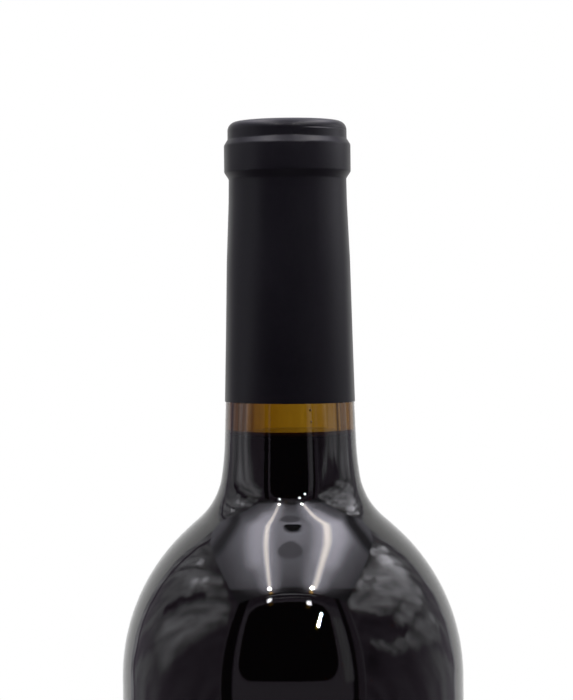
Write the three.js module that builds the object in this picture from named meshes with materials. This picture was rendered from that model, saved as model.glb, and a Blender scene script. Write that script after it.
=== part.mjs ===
// A full 750 ml bottle of red wine, standing upright and still sealed: a hollow olive glass
// bottle with sloping shoulders and a punt, a matt black capsule over its lip and neck, and the
// wine inside, up to its level just below the capsule.
// Millimetres, +Z up, origin at the centre of the ring that the bottle stands on.
// Every piece is turned round the Z axis, so each is an outline of [radius, height] points.

import * as THREE from "three";

const degrees = THREE.MathUtils.degToRad;

// Driving dimensions of the bottle
const HEIGHT = 300; // to the top of the capsule
const BODY_RADIUS = 38.5;
const BODY_TOP = 175; // where the straight side ends and the shoulder begins
const BODY_WALL = 3.2;
const HEEL_RADIUS = 5;
const INNER_HEEL_RADIUS = 7;
const FOOT_INNER_RADIUS = 30; // inner edge of the flat ring that the bottle stands on
const PUNT_HEIGHT = 26;
const BASE_THICKNESS = 5;

// The shoulder is a round, a short straight slope, and a hollow that runs out into the neck.
// A tilt is an outline's lean from the vertical towards the axis.
const SHOULDER_ROUND = 44.7;
const SLOPE_TILT = degrees(48.66);
const SLOPE_LENGTH = 3.3;
const HOLLOW_ROUND = 16.1;
const HOLLOW_TILT = degrees(7.7);
const RUN_OUT_ROUND = 85;
const NECK_TILT = degrees(2);

// Inside, the shoulder has the same form, but the wall thickens towards the neck.
const NECK_WALL = 3.7;
const INNER_SLOPE_LENGTH = 4;
const BORE_RADIUS = 9.25;
const BORE_DEPTH = 15;

// The capsule is a thin sleeve with a closed top, drawn tight over the lip, ring and neck.
const CAPSULE_LENGTH = 62.9;
const CAPSULE_WALL = 0.12;
const CAPSULE_GAP = 0.04;
const GLASS_TOP = HEIGHT - CAPSULE_WALL - CAPSULE_GAP;

// The neck under the capsule, as radii at depths below the top of the glass
const NECK_FOOT = { radius: 14.14, depth: 48 };
const NECK_MIDDLE = { radius: 13.75, depth: 31 };
const NECK_WAIST = { radius: 13.19, depth: 18 };
const NECK_TOP = { radius: 13.1, depth: 13 };

// The lip and the ring below it
const LIP_RADIUS = 13.27;
const LIP_ROUND = 1.9;
const LIP_DEPTH = 4.1;
const RING_RADIUS = 14.11;
const RING_TOP_DEPTH = 5.5;
const RING_FOOT_DEPTH = 10.9;
const RING_CORNER = 0.35;

// The wine
const WINE_LEVEL = 230.5;
const WINE_GAP = 0.3;

// How finely the surfaces are cut up
const SEGMENTS = 48;
const ARC_ERROR = 0.09; // how far an arc may stand off its chords
const PUNT_STEPS = 6;
const NECK_STEPS = 5;

const point = (radius, height) => new THREE.Vector2(radius, height);

// Adds an arc that turns an outline's tilt from one angle to another. It bulges away from the
// axis where the tilt grows, and is hollow where the tilt shrinks.
function addArc(outline, radius, fromTilt, toTilt) {
  const start = outline.at(-1).clone();
  const turn = toTilt - fromTilt;
  const steps = Math.ceil(Math.abs(turn) / (2 * Math.acos(1 - ARC_ERROR / radius)));
  const side = Math.sign(turn) * radius;
  for (let i = 1; i <= steps; i++) {
    const tilt = fromTilt + (turn * i) / steps;
    const across = side * (Math.cos(tilt) - Math.cos(fromTilt));
    const up = side * (Math.sin(tilt) - Math.sin(fromTilt));
    outline.push(point(start.x + across, start.y + up));
  }
}

// Adds a straight stretch at a tilt.
function addSlope(outline, length, tilt) {
  const start = outline.at(-1);
  outline.push(point(start.x - length * Math.sin(tilt), start.y + length * Math.cos(tilt)));
}

// Adds the shoulder to an outline that ends at the top of the straight side.
function addShoulder(outline, bodyWall, slopeLength, neckWall) {
  addArc(outline, SHOULDER_ROUND - bodyWall, 0, SLOPE_TILT);
  addSlope(outline, slopeLength, SLOPE_TILT);
  addArc(outline, HOLLOW_ROUND + neckWall, SLOPE_TILT, HOLLOW_TILT);
  addArc(outline, RUN_OUT_ROUND + neckWall, HOLLOW_TILT, NECK_TILT);
}

// Adds a bell-shaped rise, from its top in the middle down to just before its edge.
function addBell(outline, edgeRadius, floor) {
  for (let i = 0; i < PUNT_STEPS; i++) {
    const rise = (PUNT_HEIGHT / 2) * (1 + Math.cos((Math.PI * i) / PUNT_STEPS));
    outline.push(point((edgeRadius * i) / PUNT_STEPS, floor + rise));
  }
}

// The outside of the glass, from the top of the punt down, out and up to the capsule's edge.
function bodyOutside() {
  const outline = [];
  addBell(outline, FOOT_INNER_RADIUS, 0);
  outline.push(point(FOOT_INNER_RADIUS, 0), point(BODY_RADIUS - HEEL_RADIUS, 0));
  addArc(outline, HEEL_RADIUS, -Math.PI / 2, 0);
  outline.push(point(BODY_RADIUS, BODY_TOP));
  addShoulder(outline, 0, SLOPE_LENGTH, 0);
  const left = HEIGHT - CAPSULE_LENGTH - outline.at(-1).y;
  addSlope(outline, left / Math.cos(NECK_TILT), NECK_TILT);
  return outline;
}

// The outside of the glass that the capsule covers, from the capsule's edge up to the mouth.
function neckOutside() {
  const atDepth = ({ radius, depth }) => point(radius, GLASS_TOP - depth);
  const stations = [NECK_FOOT, NECK_MIDDLE, NECK_WAIST, NECK_TOP].map(atDepth);
  const outline = new THREE.SplineCurve([bodyOutside().at(-1), ...stations]).getPoints(NECK_STEPS);
  outline.push(
    point(RING_RADIUS - RING_CORNER, GLASS_TOP - RING_FOOT_DEPTH - RING_CORNER),
    point(RING_RADIUS, GLASS_TOP - RING_FOOT_DEPTH + RING_CORNER),
    point(RING_RADIUS, GLASS_TOP - RING_TOP_DEPTH - RING_CORNER),
    point(RING_RADIUS - RING_CORNER, GLASS_TOP - RING_TOP_DEPTH + RING_CORNER),
    point(LIP_RADIUS, GLASS_TOP - LIP_DEPTH),
    point(LIP_RADIUS, GLASS_TOP - LIP_ROUND),
  );
  addArc(outline, LIP_ROUND, 0, Math.PI / 2);
  return outline;
}

// The inside of the glass, from the middle of its floor up to the mouth.
function inside() {
  const side = BODY_RADIUS - BODY_WALL;
  const outline = [];
  addBell(outline, side - INNER_HEEL_RADIUS, BASE_THICKNESS);
  outline.push(point(side - INNER_HEEL_RADIUS, BASE_THICKNESS));
  addArc(outline, INNER_HEEL_RADIUS, -Math.PI / 2, 0);
  outline.push(point(side, BODY_TOP));
  addShoulder(outline, BODY_WALL, INNER_SLOPE_LENGTH, NECK_WALL);
  outline.push(point(BORE_RADIUS, GLASS_TOP - BORE_DEPTH), point(BORE_RADIUS, GLASS_TOP));
  return outline;
}

// An outline moved sideways, to its left for a positive distance.
function offset(outline, distance) {
  const normals = outline.slice(1).map((end, i) => {
    const along = end.clone().sub(outline[i]).normalize();
    return point(-along.y, along.x);
  });
  return outline.map((p, i) => {
    const before = normals[Math.max(i - 1, 0)];
    const after = normals[Math.min(i, normals.length - 1)];
    const miter = before.clone().add(after).normalize();
    return p.clone().addScaledVector(miter, distance / miter.dot(after));
  });
}

// An outline turned round the Z axis. It runs with the solid on its left.
function turned(name, outline, look) {
  const shape = new THREE.LatheGeometry(outline, SEGMENTS);
  const mesh = new THREE.Mesh(shape, new THREE.MeshStandardMaterial(look));
  mesh.rotation.x = Math.PI / 2;
  mesh.name = name;
  return mesh;
}

function glassBottle() {
  const outline = [...bodyOutside(), ...neckOutside().slice(1), ...inside().reverse()];
  const look = { color: 0x4a4310, roughness: 0.05, transparent: true, opacity: 0.55 };
  return turned("bottle", outline, look);
}

function capsule() {
  const lining = offset(neckOutside(), -CAPSULE_GAP);
  const skin = offset(neckOutside(), -CAPSULE_GAP - CAPSULE_WALL);
  const ceiling = point(0, lining.at(-1).y);
  const outline = [ceiling, ...lining.reverse(), ...skin, point(0, HEIGHT)];
  return turned("capsule", outline, { color: 0x1b1a1d, roughness: 0.5 });
}

function wine() {
  const wall = offset(inside(), WINE_GAP);
  wall[0].x = 0;
  const firstAbove = wall.findIndex((p) => p.y > WINE_LEVEL);
  const below = wall[firstAbove - 1];
  const above = wall[firstAbove];
  const rim = below.clone().lerp(above, (WINE_LEVEL - below.y) / (above.y - below.y));
  const outline = [...wall.slice(0, firstAbove), rim, point(0, WINE_LEVEL)];
  return turned("wine", outline, { color: 0x14050a, roughness: 0.1 });
}

const wineBottle = new THREE.Group();
wineBottle.add(glassBottle(), capsule(), wine());

export default wineBottle;
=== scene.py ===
"""A sealed bottle of red wine: olive glass, a matt black capsule and wine that looks black.

The bottle stands upright on a pale floor, inside a soft white light tent. Lengths named here are
in millimetres, and become metres where a mesh, a material, a light or the camera is made.
"""

import math
from typing import NamedTuple

import bpy
import numpy as np
from mathutils import Matrix, Vector


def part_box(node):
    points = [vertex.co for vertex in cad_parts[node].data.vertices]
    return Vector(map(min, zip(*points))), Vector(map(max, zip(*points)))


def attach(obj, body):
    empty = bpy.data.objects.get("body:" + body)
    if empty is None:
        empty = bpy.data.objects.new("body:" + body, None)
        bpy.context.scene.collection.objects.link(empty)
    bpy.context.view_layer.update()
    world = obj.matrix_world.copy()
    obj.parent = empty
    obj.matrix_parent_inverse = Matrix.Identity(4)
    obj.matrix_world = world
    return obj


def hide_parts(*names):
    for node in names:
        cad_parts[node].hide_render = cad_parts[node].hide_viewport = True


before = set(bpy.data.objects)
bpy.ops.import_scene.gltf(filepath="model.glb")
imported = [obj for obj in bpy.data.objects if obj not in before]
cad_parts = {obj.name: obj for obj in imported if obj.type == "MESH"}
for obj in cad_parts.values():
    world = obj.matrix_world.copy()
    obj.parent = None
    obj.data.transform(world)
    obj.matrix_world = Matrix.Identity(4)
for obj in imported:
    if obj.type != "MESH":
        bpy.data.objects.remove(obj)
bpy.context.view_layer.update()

MM = 0.001
radians = math.radians

# Sizes that the frame gives
BODY_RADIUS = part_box("bottle")[1][0] / MM
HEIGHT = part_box("capsule")[1][2] / MM
CAPSULE_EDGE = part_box("capsule")[0][2] / MM
WINE_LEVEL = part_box("wine")[1][2] / MM

# The glass body
BODY_TOP = 175
BODY_WALL = 3.2
HEEL_RADIUS = 5
INNER_HEEL_RADIUS = 7
FOOT_INNER_RADIUS = 30
PUNT_HEIGHT = 26
BASE_THICKNESS = 5

# The shoulder is a round, a nearly straight slope, a hollow and a run-out. A tilt is how far the
# outline leans from the vertical where one of them ends.
NECK_TILT = radians(2)
SHOULDER_TILTS = (0, radians(46), radians(49.2), radians(9.1), NECK_TILT)
OUTER_ROUNDS = (44.64, 98, 15.55, 66.15)
INNER_ROUNDS = (41.41, 108, 19.21, 69.8)
BORE_RADIUS = 9.25
BORE_DEPTH = 15

# The capsule: its wall, how far it stands off the glass, and the seam near its top
CAPSULE_WALL = 0.12
CAPSULE_GAP = 0.04
SEAM_HEIGHT = 297.65
SEAM_WIDTH = 0.35
SEAM_START = 2
SEAM_END = 7
SEAM_RISE = 0.15
GLASS_TOP = HEIGHT - CAPSULE_WALL - CAPSULE_GAP

# The capsule's lower edge: its drop and slant, and how far up they reach
EDGE_DROP = 0.15
EDGE_SLANT = 0.12
EDGE_REACH = 4

# The neck, ring and lip under the capsule, as [radius, depth below the top, rounding] corners
NECK_CORNERS = (
    (14.14, 48, 60),
    (13.75, 31, 60),
    (13.19, 18, 30),
    (13.10, 12.75, 1.0),
    (14.11, 11.2, 0.8),
    (14.11, 5.15, 1.0),
    (13.27, 3.8, 0.8),
)
LIP_RADIUS = 13.27
LIP_ROUND = 1.9

# The wine: how far it reaches into the glass, and how deep its thin brown rim goes
WALL_OVERLAP = 0.15
RIM_DEPTH = 1.6

# The bore lies off the middle just above and below the wine's level, and its wall is uneven. A
# wave is a count round the bore, a depth beside the first wave's, and a starting angle.
BORE_SHIFT = 0.6
BORE_SHIFT_HEIGHT = 231
BORE_SHIFT_REACH = 22
WAVE_DEPTH = 0.09
WAVES = ((5, 1.0, 0.6), (9, 0.8, 2.1), (16, 0.7, 4.0), (27, 0.5, 1.2))

# Tiny bubbles in the glass: place and size
BUBBLES = (
    (4.39, -13.9, 235.56, 0.3),
    (4.58, -13.93, 232.92, 0.26),
    (7.26, -13.31, 223.71, 0.32),
)

# How finely the pieces are cut up
SEGMENTS = 180
ANGLES = np.arange(SEGMENTS) * 2 * math.pi / SEGMENTS
ARC_STEP = radians(1.5)
CORNER_STEP = 4 * ARC_STEP
LONGEST_STEP = 4
BELL_STEPS = 40
RIM_STEPS = 4
SURFACE_STEPS = 6
SHARPEST_SMOOTH = radians(35)
ON_AXIS = 1e-6

# Nearly all values of a noise lie between these
NOISE_RANGE = (0.3, 0.7)

# The glass, whose tint is what a volume of it lets through
WHITE = (1, 1, 1, 1)
GLASS_IOR = 1.5
GLASS_TINT = (0.715, 0.6, 0.10, 1)
GLASS_DENSITY = 800
RIPPLE_SCALE = 18
RIPPLE_DEPTH = 0.12

# The wine, whose index against the glass is lower than its own against air
WINE_BLACK = (0.0016, 0.0005, 0.0008, 1)
RIM_BROWN = (0.14, 0.06, 0.02, 1)
WINE_AT_GLASS_IOR = 1.13
WINE_SURFACE_IOR = 1.345

# The capsule's skin, with a fine grain and a slow drift from its darker to its paler black
CAPSULE_DARKER = (0.0027, 0.0024, 0.0038, 1)
CAPSULE_PALER = (0.0047, 0.0042, 0.0064, 1)
CAPSULE_IOR = 1.27
CAPSULE_SMOOTHEST = 0.33
CAPSULE_ROUGHEST = 0.39
GRAIN_SCALE = 2600
GRAIN_DEPTH = 0.02
DRIFT_SCALE = 60

# The light tent round the bottle
TENT_SIDE = 207
TENT_BACK = 191
TENT_FRONT = -200
TENT_TOP = 430

# How bright the backdrop is, the bare walls beside it, and the little light from beyond the tent
BACKDROP = 1.0
BACK_LIGHT = 0.85
SIDE_LIGHT = 0.22
CEILING_LIGHT = 0.16
FRONT_LIGHT = 0.31
STRAY_LIGHT = 0.01

# White cloth looks purplish in the shade. The ceiling is cool, and its strips are warm. Each
# pair of colours has the two brightnesses between which it changes.
SHADED_CLOTH = (0.96, 0.78, 1.05, 1)
LIT_CLOTH = (0.98, 0.97, 1.04, 1)
SHADED_TO_LIT = (0.15, 0.5)
COOL_CEILING = (0.97, 0.95, 1.09, 1)
WARM_STRIP = (1.05, 0.98, 0.95, 1)
CEILING_TO_STRIP = (7, 11)

# The side walls' cloth: how far broad folds shift what is on it, then the turn, size and
# contrast of fine folds, and how much of that is left where the wall is dim
FOLD_SHIFT = 13
BROAD_FOLD_SCALE = 0.03
FINE_FOLD_TURN = radians(-35)
FINE_FOLD_SIZE = (90, 26, 1)
FINE_FOLD_ROUGHNESS = 0.42
FOLD_DARKEST = 0.6
FOLD_LIGHTEST = 1.4
DIM_TO_BRIGHT = (0.25, 0.7)
DIM_SHARE = 0.5

# A strip of daylight through the tent's opening
DAYLIGHT_PLACE = (77, -201, 334)
DAYLIGHT_TARGET = (12, -28, 195)
DAYLIGHT_SIZE = (8, 54)
DAYLIGHT_LEAN = radians(23)
DAYLIGHT_SPREAD = radians(10)
DAYLIGHT_STRENGTH = 2.4
DAYLIGHT_COLOUR = (0.72, 0.88, 1.0, 1)

# The floor
FLOOR_RADIUS = 190
FLOOR_SIDES = 128
FLOOR_COLOUR = (0.82, 0.82, 0.83, 1)

# The camera: the photograph is 573 by 700 pixels
IMAGE_LONG_SIDE = 700
FOCAL_PIXELS = 2301
SENSOR = 36
CAMERA_PLACE = (-0.66, -519.5, 258.92)
CAMERA_PITCH = radians(1.145)
CAMERA_ROLL = radians(0.646)


class Outline:
    """A line of [radius, height] points, drawn stretch by stretch."""

    def __init__(self, radius, height):
        self.points = [(radius, height)]

    def to(self, radius, height):
        """A straight stretch to a point."""
        start = self.points[-1]
        steps = max(1, math.ceil(math.dist(start, (radius, height)) / LONGEST_STEP))
        for i in range(1, steps + 1):
            part = i / steps
            self.points.append((start[0] + (radius - start[0]) * part,
                                start[1] + (height - start[1]) * part))

    def slope(self, length, tilt):
        """A straight stretch that leans from the vertical towards the axis."""
        radius, height = self.points[-1]
        self.to(radius - length * math.sin(tilt), height + length * math.cos(tilt))

    def arc(self, size, start, end):
        """An arc from one tilt to another. It bulges outwards where the tilt grows."""
        radius, height = self.points[-1]
        side = math.copysign(size, end - start)
        steps = math.ceil(abs(end - start) / ARC_STEP)
        for i in range(1, steps + 1):
            tilt = start + (end - start) * i / steps
            self.points.append((radius + side * (math.cos(tilt) - math.cos(start)),
                                height + side * (math.sin(tilt) - math.sin(start))))

    def bell(self, edge, floor):
        """A bell-shaped hollow, from its top on the axis down to its edge. It replaces the
        outline's last point."""
        self.points.pop()
        for i in range(BELL_STEPS + 1):
            rise = PUNT_HEIGHT / 2 * (1 + math.cos(math.pi * i / BELL_STEPS))
            self.points.append((edge * i / BELL_STEPS, floor + rise))

    def rounded(self, corners):
        """Straight stretches through [radius, height, rounding] corners. The last stays sharp."""
        path = [(*self.points[-1], 0), *corners]
        for before, corner, after in zip(path, path[1:], path[2:]):
            self.round_corner(Vector(before[:2]), corner, Vector(after[:2]))
        self.to(*corners[-1][:2])

    def round_corner(self, before, corner, after):
        """A straight stretch to a corner between two places, and an arc round it."""
        place = Vector(corner[:2])
        back = (before - place).normalized()
        on = (after - place).normalized()
        half = back.angle(on) / 2
        reach = corner[2] / math.tan(half)
        middle = place + (back + on).normalized() * (corner[2] / math.sin(half))
        first = place + back * reach - middle
        last = place + on * reach - middle
        turn = first.angle_signed(last)
        self.to(*(middle + first))
        steps = math.ceil(abs(turn) / CORNER_STEP)
        for i in range(1, steps + 1):
            step = Matrix.Rotation(-turn * i / steps, 2) @ first
            self.points.append(tuple(middle + step))


def add_shoulder(outline, rounds):
    """The shoulder's arcs, from the top of the straight side to the neck."""
    for size, start, end in zip(rounds, SHOULDER_TILTS, SHOULDER_TILTS[1:]):
        outline.arc(size, start, end)


def body_outside():
    """The outside of the glass, from the middle of the punt up to the capsule's edge."""
    outline = Outline(0, PUNT_HEIGHT)
    outline.bell(FOOT_INNER_RADIUS, 0)
    outline.to(BODY_RADIUS - HEEL_RADIUS, 0)
    outline.arc(HEEL_RADIUS, -math.pi / 2, 0)
    outline.to(BODY_RADIUS, BODY_TOP)
    add_shoulder(outline, OUTER_ROUNDS)
    outline.slope((CAPSULE_EDGE - outline.points[-1][1]) / math.cos(NECK_TILT), NECK_TILT)
    return outline


def neck_corners(spread):
    """The [radius, height, rounding] corners under the capsule, of a surface that lies a spread
    outside the glass."""
    corners = [(radius + spread, GLASS_TOP - depth, rounding)
               for radius, depth, rounding in NECK_CORNERS]
    return [*corners, (LIP_RADIUS + spread, GLASS_TOP + spread, LIP_ROUND + spread)]


def bottle_inside():
    """The inside of the glass, from the middle of its floor up to the mouth."""
    side = BODY_RADIUS - BODY_WALL
    outline = Outline(0, BASE_THICKNESS + PUNT_HEIGHT)
    outline.bell(side - INNER_HEEL_RADIUS, BASE_THICKNESS)
    outline.arc(INNER_HEEL_RADIUS, -math.pi / 2, 0)
    outline.to(side, BODY_TOP)
    add_shoulder(outline, INNER_ROUNDS)
    outline.to(BORE_RADIUS, GLASS_TOP - BORE_DEPTH)
    outline.to(BORE_RADIUS, GLASS_TOP)
    return outline


def uneven_bore(radii, heights):
    """A ring, shifted sideways near the wine's level, with the waves of the bore's wall."""
    away = (heights - BORE_SHIFT_HEIGHT) / BORE_SHIFT_REACH
    near = np.exp(-away ** 4)
    waves = sum(depth * np.sin(count * ANGLES + start) for count, depth, start in WAVES)
    full = np.clip(radii / BORE_RADIUS, 0, 1)
    return radii + near * full * (BORE_SHIFT * np.cos(ANGLES) + WAVE_DEPTH * waves), heights


def slanted_edge(radii, heights):
    """A ring of the capsule, lowered near its lower edge, and more on its right side."""
    near = np.exp((CAPSULE_EDGE - heights) / EDGE_REACH)
    return radii, heights - near * (EDGE_DROP + EDGE_SLANT * np.cos(ANGLES))


def rings_of(points, moved=None):
    """The rings that an outline's points draw round the Z axis, each as its radii and heights at
    ANGLES. moved(radii, heights) may shift them."""
    rings = [(np.full(SEGMENTS, radius), np.full(SEGMENTS, height)) for radius, height in points]
    return [moved(*ring) for ring in rings] if moved else rings


def turned(name, rings):
    """A smooth mesh through rings. They run with the solid on their left."""
    vertices = []
    corners = []
    for radii, heights in rings:
        start = len(vertices)
        if radii.max() < ON_AXIS:
            vertices.append((0, 0, heights[0] * MM))
            corners.append([start] * SEGMENTS)
            continue
        for angle, radius, height in zip(ANGLES, radii, heights):
            across = radius * math.cos(angle)
            along = radius * math.sin(angle)
            vertices.append((across * MM, along * MM, height * MM))
        corners.append(list(range(start, start + SEGMENTS)))
    faces = []
    for low, high in zip(corners, corners[1:]):
        for i in range(SEGMENTS):
            j = (i + 1) % SEGMENTS
            face = list(dict.fromkeys([low[i], low[j], high[j], high[i]]))
            if len(face) > 2:
                faces.append(face)
    mesh = bpy.data.meshes.new(name)
    mesh.from_pydata(vertices, [], faces)
    mesh.validate()
    mesh.shade_smooth()
    mesh.set_sharp_from_angle(angle=SHARPEST_SMOOTH)
    piece = bpy.data.objects.new(name, mesh)
    bpy.context.collection.objects.link(piece)
    return piece


class Nodes:
    """Short ways to add nodes to a material, a light or the world."""

    def __init__(self, owner):
        owner.use_nodes = True
        self.tree = owner.node_tree
        self.tree.nodes.clear()

    def add(self, kind, inputs, **settings):
        node = self.tree.nodes.new(kind)
        for name, value in settings.items():
            setattr(node, name, value)
        for name, value in inputs.items():
            if isinstance(value, bpy.types.NodeSocket):
                self.tree.links.new(value, node.inputs[name])
            else:
                node.inputs[name].default_value = value
        return node

    def multiply(self, first, second):
        inputs = {0: first, 1: second}
        return self.add("ShaderNodeMath", inputs, operation="MULTIPLY").outputs[0]

    def vector(self, operation, first, second):
        inputs = {0: first, 1: second}
        return self.add("ShaderNodeVectorMath", inputs, operation=operation).outputs[0]

    def scaled(self, vector, scale):
        inputs = {0: vector, "Scale": scale}
        return self.add("ShaderNodeVectorMath", inputs, operation="SCALE").outputs[0]

    def length(self, vector):
        return self.add("ShaderNodeVectorMath", {0: vector}, operation="LENGTH").outputs["Value"]

    def distance(self, first, second):
        inputs = {0: first, 1: second}
        return self.add("ShaderNodeVectorMath", inputs, operation="DISTANCE").outputs["Value"]

    def flat(self, across, up):
        """A vector in a plane."""
        return self.add("ShaderNodeCombineXYZ", {"X": across, "Y": up}).outputs[0]

    def split(self, vector):
        """Three sockets: the vector's x, y and z."""
        return self.add("ShaderNodeSeparateXYZ", {0: vector}).outputs[:3]

    def local(self, vector, **inputs):
        """A vector as seen from a place, a turn and a scale."""
        named = {name.capitalize(): value for name, value in inputs.items()}
        named["Vector"] = vector
        return self.add("ShaderNodeMapping", named, vector_type="TEXTURE").outputs[0]

    def ramp(self, value, start, end, low=0.0, high=1.0):
        """low up to start, high from end, and smooth between."""
        inputs = {"Value": value, "From Min": start, "From Max": end, "To Min": low, "To Max": high}
        node = self.add("ShaderNodeMapRange", inputs, interpolation_type="SMOOTHSTEP")
        return node.outputs["Result"]

    def mix(self, part, first, second):
        """A number between two others."""
        return self.add("ShaderNodeMix", {0: part, 2: first, 3: second}).outputs[0]

    def blend(self, part, first, second):
        """A colour between two others."""
        inputs = {0: part, 6: first, 7: second}
        return self.add("ShaderNodeMix", inputs, data_type="RGBA").outputs[2]

    def noise(self, vector, scale, detail, roughness=0.5):
        inputs = {"Vector": vector, "Scale": scale, "Detail": detail, "Roughness": roughness}
        return self.add("ShaderNodeTexNoise", inputs)

    def bump(self, height, distance, **inputs):
        named = {name.capitalize(): value for name, value in inputs.items()}
        named.update({"Height": height, "Distance": distance})
        return self.add("ShaderNodeBump", named).outputs[0]

    def world_place(self):
        """Three sockets: the shaded point's x, y and z, in millimetres."""
        position = self.add("ShaderNodeNewGeometry", {}).outputs["Position"]
        return self.split(self.scaled(position, 1 / MM))

    def object_place(self):
        """The shaded point's place in its piece, in metres."""
        return self.add("ShaderNodeTexCoord", {}).outputs["Object"]

    def surface(self, shader, **sockets):
        """Ends a material's nodes."""
        named = {name.capitalize(): value for name, value in sockets.items()}
        self.add("ShaderNodeOutputMaterial", {"Surface": shader.outputs[0], **named})


def glass_material():
    """Clear olive glass with a faint ripple and a few tiny bubbles."""
    material = bpy.data.materials.new("olive_glass")
    nodes = Nodes(material)
    place = nodes.object_place()
    ripple = nodes.noise(place, RIPPLE_SCALE, detail=1.0).outputs["Fac"]
    bump = nodes.bump(ripple, RIPPLE_DEPTH * MM, strength=0.25)
    for x, y, z, size in BUBBLES:
        away = nodes.distance(place, (x * MM, y * MM, z * MM))
        rise = nodes.ramp(away, 0, size * MM, 1, 0)
        bump = nodes.bump(rise, size * MM, normal=bump)
    shader = nodes.add("ShaderNodeBsdfPrincipled", {
        "Base Color": WHITE,
        "Roughness": 0.0,
        "IOR": GLASS_IOR,
        "Transmission Weight": 1.0,
        "Normal": bump,
    })
    tint = nodes.add("ShaderNodeVolumeAbsorption", {"Color": GLASS_TINT, "Density": GLASS_DENSITY})
    nodes.surface(shader, volume=tint.outputs[0])
    return material


def wine_material(name, ior):
    """Wine that looks black, with a thin brown rim at its level."""
    material = bpy.data.materials.new(name)
    nodes = Nodes(material)
    height = nodes.split(nodes.object_place())[2]
    rim = nodes.ramp(height, (WINE_LEVEL - RIM_DEPTH) * MM, WINE_LEVEL * MM)
    shader = nodes.add("ShaderNodeBsdfPrincipled", {
        "Base Color": nodes.blend(nodes.multiply(rim, rim), WINE_BLACK, RIM_BROWN),
        "Roughness": 0.0,
        "IOR": ior,
    })
    nodes.surface(shader)
    return material


def capsule_material():
    """Matt black with a very fine grain, and a faint seam round the right of its top."""
    material = bpy.data.materials.new("capsule_black")
    nodes = Nodes(material)
    place = nodes.object_place()
    drift = nodes.noise(place, DRIFT_SCALE, detail=3.0).outputs["Fac"]
    grain = nodes.noise(place, GRAIN_SCALE, detail=3.0).outputs["Fac"]
    bump = nodes.bump(grain, GRAIN_DEPTH * MM, strength=0.3)
    x, _, z = nodes.split(place)
    under = nodes.ramp(z, SEAM_HEIGHT * MM, (SEAM_HEIGHT + SEAM_WIDTH) * MM, 1, 0)
    seam = nodes.multiply(under, nodes.ramp(x, SEAM_START * MM, SEAM_END * MM))
    shader = nodes.add("ShaderNodeBsdfPrincipled", {
        "Base Color": nodes.blend(drift, CAPSULE_DARKER, CAPSULE_PALER),
        "Roughness": nodes.ramp(drift, *NOISE_RANGE, CAPSULE_SMOOTHEST, CAPSULE_ROUGHEST),
        "IOR": CAPSULE_IOR,
        "Normal": nodes.bump(seam, SEAM_RISE * MM, normal=bump),
    })
    nodes.surface(shader)
    return material


def make_bottle():
    """The glass, from the punt up the outside, over the lip and down the inside."""
    outside = body_outside()
    outside.rounded([*neck_corners(0), (BORE_RADIUS, GLASS_TOP, 0)])
    inside = bottle_inside().points[::-1]
    rings = rings_of(outside.points[:-1]) + rings_of(inside, uneven_bore)
    piece = turned("glass_bottle", rings)
    piece.data.materials.append(glass_material())
    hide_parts("bottle")
    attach(piece, "root")


def make_capsule():
    """The capsule, from the middle of its lining down to its edge, and up the skin."""
    foot = body_outside().points[-1][0] + CAPSULE_GAP
    lining = Outline(foot, CAPSULE_EDGE)
    lining.rounded([*neck_corners(CAPSULE_GAP), (0, GLASS_TOP + CAPSULE_GAP, 0)])
    skin = Outline(foot + CAPSULE_WALL, CAPSULE_EDGE)
    skin.rounded([*neck_corners(CAPSULE_GAP + CAPSULE_WALL), (0, HEIGHT, 0)])
    piece = turned("capsule_sleeve", rings_of(lining.points[::-1] + skin.points, slanted_edge))
    piece.data.materials.append(capsule_material())
    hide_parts("capsule")
    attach(piece, "root")


def make_wine():
    """The wine: a wall that reaches just into the glass, and a level surface."""
    inside = [p for p in bottle_inside().points if p[1] < WINE_LEVEL]
    wall = [(0.0, inside[0][1] - WALL_OVERLAP)]
    for before, here in zip(inside, inside[1:]):
        along = (Vector(here) - Vector(before)).normalized()
        wall.append((here[0] + along.y * WALL_OVERLAP, here[1] - along.x * WALL_OVERLAP))
    rim = wall[-1][0]
    wall += [(rim, WINE_LEVEL - RIM_DEPTH * i / RIM_STEPS) for i in reversed(range(RIM_STEPS))]
    surface = [(rim * (1 - i / SURFACE_STEPS), WINE_LEVEL) for i in range(1, SURFACE_STEPS + 1)]
    piece = turned("red_wine", rings_of(wall + surface, uneven_bore))
    piece.data.materials.append(wine_material("wine_at_the_glass", WINE_AT_GLASS_IOR))
    piece.data.materials.append(wine_material("wine_surface", WINE_SURFACE_IOR))
    for face in piece.data.polygons[-SURFACE_STEPS * SEGMENTS:]:
        face.material_index = 1
    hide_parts("wine")
    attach(piece, "root")


class Patch(NamedTuple):
    """A soft-edged patch of light on a tent wall: an oval, or a rectangle with rounded corners,
    turned from the wall's first axis. Millimetres and degrees."""
    middle: tuple
    half: tuple
    turn: float
    blur: float
    light: float
    corner: float = 1000
    oval: bool = False


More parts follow.
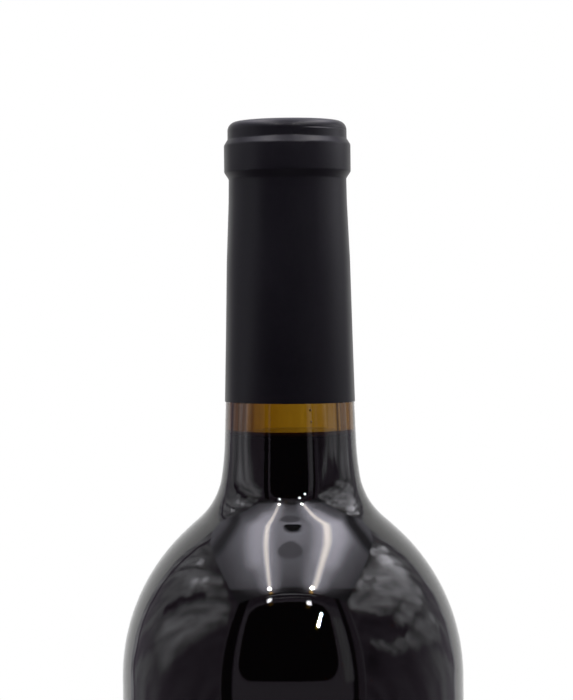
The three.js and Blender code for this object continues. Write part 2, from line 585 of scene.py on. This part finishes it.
# The lit ceiling up to its front edge, the glow round its strips, its darker back corners, the
# strips, a grey disc, a dark hole and the strips' bright front ends
CEILING = [
    Patch((0, 248), (428, 428), 0, 4, 0.7),
    Patch((-70, -10), (70, 150), -3.8, 66, 2.3),
    Patch((88, -10), (70, 150), -4.8, 66, 2.3),
    Patch((-64, -60), (26, 125), -3.8, 24, 4.6),
    Patch((82, -60), (32, 125), -4.8, 28, 4.8),
    Patch((-80, -18), (28, 75), -6, 27, 5.6),
    Patch((98, -8), (30, 85), -6, 29, 6.4),
    Patch((0, 0), (30, 75), 0, 30, 2.2),
    Patch((2, 8), (38, 45), 0, 30, 3.4),
    Patch((-168, 83), (56, 35), 35, 28, 0.3),
    Patch((175, 99), (58, 37), -32, 27, 0.2),
    Patch((-64, -62), (6, 120), -3.8, 5.5, 13),
    Patch((82, -62), (8, 120), -4.8, 7.5, 14),
    Patch((-3.5, -60), (31, 25), 0, 3, 1.2, oval=True),
    Patch((2.5, -9), (25, 12), 0, 2.5, 0.1, oval=True),
    Patch((-73, -179), (6, 6), 0, 2, 300),
    Patch((64, -179), (7, 6), 0, 2, 300),
]

# A band with two bright lines above the opening, the corners, the opening in its paler frame,
# and two bright spots above it
FRONT = [
    Patch((0, 408), (150, 26), 0, 6, 0.16, 10),
    Patch((-5, 420), (85, 3), 0, 2, 1.2),
    Patch((-5, 403), (62, 2), 0, 2, 0.7),
    Patch((-177, 215), (24, 300), 0, 6, 0.02),
    Patch((195, 300), (22, 120), 0, 12, 0.35),
    Patch((184, 215), (14, 300), 0, 6, 0.2),
    Patch((160, 215), (11, 300), 0, 5, 0.03),
    Patch((-12, 285), (137, 110), 0, 5, 0.3, 45),
    Patch((134, 262), (16, 80), 3, 5, 0.5, 10),
    Patch((-14, 285), (121, 98), 0, 2, 0.015, 40),
    Patch((-72, 399), (6, 8), 0, 5, 40),
    Patch((50, 381), (6, 8), 0, 5, 40),
]

# The side walls: a glow, broad folds in the cloth, and a seam and paler cloth at the back corner
LEFT_SIDE = [
    Patch((85, 200), (75, 110), 0, 70, 0.42),
    Patch((70, 360), (100, 75), 0, 60, 0.62),
    Patch((-70, 290), (125, 30), -44, 25, 1.1),
    Patch((-22, 324), (100, 8), -42, 7, 0.12),
    Patch((-88, 377), (50, 15), -39, 11, 0.75),
    Patch((5, 352), (50, 24), -40, 20, 1.3),
    Patch((18, 335), (12, 9), -40, 8, 2.4),
    Patch((-10, 367), (10, 7), -40, 7, 2.4),
    Patch((65, 377), (14, 7), -30, 7, 2.2),
    Patch((72, 350), (50, 4), -33, 5, 0.35),
    Patch((-52, 400), (30, 20), -40, 14, 0.9),
    Patch((150, 215), (8, 300), 0, 6, 0.2),
    Patch((178, 215), (20, 300), 0, 8, 0.6),
]
RIGHT_SIDE = [
    Patch((85, 200), (75, 110), 0, 70, 0.42),
    Patch((70, 360), (100, 75), 0, 60, 0.62),
    Patch((-165, 220), (30, 30), 0, 30, 0.1),
    Patch((25, 350), (88, 52), -10, 24, 1.9),
    Patch((-120, 370), (80, 24), -38, 18, 1.4),
    Patch((-82, 405), (32, 22), -20, 18, 2.0),
    Patch((-45, 392), (30, 6), -35, 8, 0.7),
    Patch((95, 402), (46, 12), -30, 9, 2.8),
    Patch((-22, 403), (34, 16), -30, 12, 1.9),
    Patch((70, 370), (27, 18), -38, 15, 3.6),
    Patch((-98, 334), (75, 16), -34, 14, 1.3),
    Patch((-105, 290), (95, 14), -30, 13, 0.15),
    Patch((0, 250), (60, 9), -22, 8, 0.42),
    Patch((35, 272), (75, 13), 2, 8, 1.1),
    Patch((-115, 242), (45, 9), -30, 8, 0.7),
    Patch((28, 232), (70, 8), 0, 7, 0.75),
    Patch((10, 218), (95, 9), -6, 8, 0.8),
    Patch((165, 215), (6, 300), 0, 8, 0.35),
    Patch((187, 215), (14, 300), 0, 8, 0.7),
]
BACK = [
    Patch((0, 250), (70, 190), 0, 90, BACKDROP),
]


def tent_wall(name, centre, size, facing, up):
    """A rectangular light that shines towards facing and is unseen by the camera. Returns the
    nodes that paint it: a strength of 1 there is as bright as the white backdrop."""
    data = bpy.data.lights.new(name, "AREA")
    data.shape = "RECTANGLE"
    data.size = size[0] * MM
    data.size_y = size[1] * MM
    data.energy = math.pi * data.size * data.size_y
    wall = bpy.data.objects.new(name, data)
    back = -Vector(facing)
    side = Vector(up).cross(back)
    axes = Matrix((side, Vector(up), back)).transposed().to_4x4()
    wall.matrix_world = Matrix.Translation(Vector(centre) * MM) @ axes
    wall.visible_camera = False
    bpy.context.collection.objects.link(wall)
    return Nodes(data)


def shine(nodes, strength, colour):
    """Ends a light's nodes."""
    light = nodes.add("ShaderNodeEmission", {"Color": colour, "Strength": strength})
    nodes.add("ShaderNodeOutputLight", {0: light.outputs[0]})


def shine_on_cloth(nodes, light):
    """Ends the nodes of a cloth wall."""
    shine(nodes, light, nodes.blend(nodes.ramp(light, *SHADED_TO_LIT), SHADED_CLOTH, LIT_CLOTH))


def shifted_by_folds(nodes, place):
    """A place on a wall, shifted as broad folds in the cloth shift it."""
    folds = nodes.noise(place, BROAD_FOLD_SCALE, detail=2.0).outputs["Color"]
    shift = nodes.vector("SUBTRACT", folds, (0.5, 0.5, 0.5))
    return nodes.vector("ADD", place, nodes.scaled(shift, 2 * FOLD_SHIFT))


def paint_patches(nodes, place, ground, patches):
    """Light of a wall that is ground bright, with patches on it."""
    light = ground
    for patch in patches:
        turn = (0, 0, radians(patch.turn))
        local = nodes.local(place, location=(*patch.middle, 0), rotation=turn)
        half = patch.half
        if patch.oval:
            local = nodes.vector("MULTIPLY", local, (half[1] / half[0], 1, 1))
            half = (half[1], half[1])
        corner = min(*half, patch.corner)
        inner = (half[0] - corner, half[1] - corner, 0)
        past = nodes.vector("SUBTRACT", nodes.vector("ABSOLUTE", local, (0, 0, 0)), inner)
        past = nodes.vector("MULTIPLY", nodes.vector("MAXIMUM", past, (0, 0, 0)), (1, 1, 0))
        inside = nodes.ramp(nodes.length(past), corner - patch.blur, corner + patch.blur, 1, 0)
        light = nodes.mix(inside, light, patch.light)
    return light


def with_fine_folds(nodes, place, light):
    """Light with fine light and dark folds, drawn out along the slope of the cloth. They are
    weaker where little light falls."""
    drawn = nodes.local(place, rotation=(0, 0, FINE_FOLD_TURN), scale=FINE_FOLD_SIZE)
    folds = nodes.noise(drawn, scale=1.0, detail=4.0, roughness=FINE_FOLD_ROUGHNESS)
    change = nodes.ramp(folds.outputs["Fac"], *NOISE_RANGE, FOLD_DARKEST, FOLD_LIGHTEST)
    share = nodes.ramp(light, *DIM_TO_BRIGHT, DIM_SHARE, 1)
    return nodes.mix(share, light, nodes.multiply(light, change))


def make_back():
    """The wall behind the bottle, with a broad glow."""
    nodes = tent_wall("tent_back", (0, TENT_BACK, TENT_TOP / 2), (2 * TENT_SIDE, TENT_TOP),
                      (0, -1, 0), (0, 0, 1))
    x, _, z = nodes.world_place()
    shine(nodes, paint_patches(nodes, nodes.flat(x, z), BACK_LIGHT, BACK), WHITE)


def make_side(name, side, patches):
    """A side wall of folded cloth: side is -1 for the left one and 1 for the right one."""
    middle = (side * TENT_SIDE, (TENT_BACK + TENT_FRONT) / 2, TENT_TOP / 2)
    nodes = tent_wall(name, middle, (TENT_BACK - TENT_FRONT, TENT_TOP), (-side, 0, 0), (0, 0, 1))
    _, y, z = nodes.world_place()
    place = nodes.flat(y, z)
    light = paint_patches(nodes, shifted_by_folds(nodes, place), SIDE_LIGHT, patches)
    shine_on_cloth(nodes, with_fine_folds(nodes, place, light))


def make_ceiling():
    """The ceiling with its two strips of lamps."""
    middle = (0, (TENT_BACK + TENT_FRONT) / 2, TENT_TOP)
    nodes = tent_wall("tent_ceiling", middle, (2 * TENT_SIDE, TENT_BACK - TENT_FRONT),
                      (0, 0, -1), (0, 1, 0))
    x, y, _ = nodes.world_place()
    light = paint_patches(nodes, nodes.flat(x, y), CEILING_LIGHT, CEILING)
    colour = nodes.blend(nodes.ramp(light, *CEILING_TO_STRIP), COOL_CEILING, WARM_STRIP)
    shine(nodes, light, colour)


def make_front():
    """The wall behind the camera, with the tent's opening."""
    nodes = tent_wall("tent_front", (0, TENT_FRONT, TENT_TOP / 2), (2 * TENT_SIDE, TENT_TOP),
                      (0, 1, 0), (0, 0, 1))
    x, _, z = nodes.world_place()
    shine_on_cloth(nodes, paint_patches(nodes, nodes.flat(x, z), FRONT_LIGHT, FRONT))


def make_daylight():
    """Daylight that falls in through the tent's opening, and only reaches the shoulder."""
    ahead = (Vector(DAYLIGHT_TARGET) - Vector(DAYLIGHT_PLACE)).normalized()
    up = Vector((math.sin(DAYLIGHT_LEAN), 0, math.cos(DAYLIGHT_LEAN)))
    up = (up - up.project(ahead)).normalized()
    nodes = tent_wall("tent_daylight", DAYLIGHT_PLACE, DAYLIGHT_SIZE, ahead, up)
    bpy.data.lights["tent_daylight"].spread = DAYLIGHT_SPREAD
    shine(nodes, DAYLIGHT_STRENGTH, DAYLIGHT_COLOUR)


def make_world():
    """A white backdrop for the camera, which hardly lights anything."""
    world = bpy.data.worlds.new("white_backdrop")
    bpy.context.scene.world = world
    nodes = Nodes(world)
    seen = nodes.add("ShaderNodeLightPath", {}).outputs["Is Camera Ray"]
    strength = nodes.ramp(seen, 0.4, 0.6, STRAY_LIGHT, BACKDROP)
    sky = nodes.add("ShaderNodeBackground", {"Color": WHITE, "Strength": strength})
    nodes.add("ShaderNodeOutputWorld", {"Surface": sky.outputs[0]})


def make_floor():
    """A pale disc that fades away towards its edge, so that the backdrop's white shows there."""
    radius = FLOOR_RADIUS * MM
    bpy.ops.mesh.primitive_circle_add(vertices=FLOOR_SIDES, radius=radius, fill_type="NGON")
    floor = bpy.context.object
    floor.name = "floor"
    material = bpy.data.materials.new("pale_floor")
    nodes = Nodes(material)
    x, y, _ = nodes.world_place()
    away = nodes.length(nodes.flat(x, y))
    paint = nodes.add("ShaderNodeBsdfDiffuse", {"Color": FLOOR_COLOUR})
    gone = nodes.add("ShaderNodeBsdfTransparent", {})
    faded = nodes.add("ShaderNodeMixShader", {
        0: nodes.ramp(away, FLOOR_RADIUS / 2, FLOOR_RADIUS),
        1: paint.outputs[0],
        2: gone.outputs[0],
    })
    nodes.surface(faded)
    floor.data.materials.append(material)


def make_camera():
    """The photograph's camera, as fitted to the bottle's edges in it."""
    data = bpy.data.cameras.new("camera")
    data.sensor_width = SENSOR
    data.lens = FOCAL_PIXELS / IMAGE_LONG_SIDE * SENSOR
    camera = bpy.data.objects.new("camera", data)
    ahead = Vector((0, math.cos(CAMERA_PITCH), -math.sin(CAMERA_PITCH)))
    up = Vector((0, math.sin(CAMERA_PITCH), math.cos(CAMERA_PITCH)))
    level = Matrix((ahead.cross(up), up, -ahead)).transposed().to_4x4()
    roll = Matrix.Rotation(-CAMERA_ROLL, 4, "Z")
    camera.matrix_world = Matrix.Translation(Vector(CAMERA_PLACE) * MM) @ level @ roll
    bpy.context.collection.objects.link(camera)
    bpy.context.scene.camera = camera


bpy.context.scene.view_settings.view_transform = "Standard"
make_world()
make_floor()
make_back()
make_side("tent_left", -1, LEFT_SIDE)
make_side("tent_right", 1, RIGHT_SIDE)
make_ceiling()
make_front()
make_daylight()
make_camera()
make_bottle()
make_capsule()
make_wine()
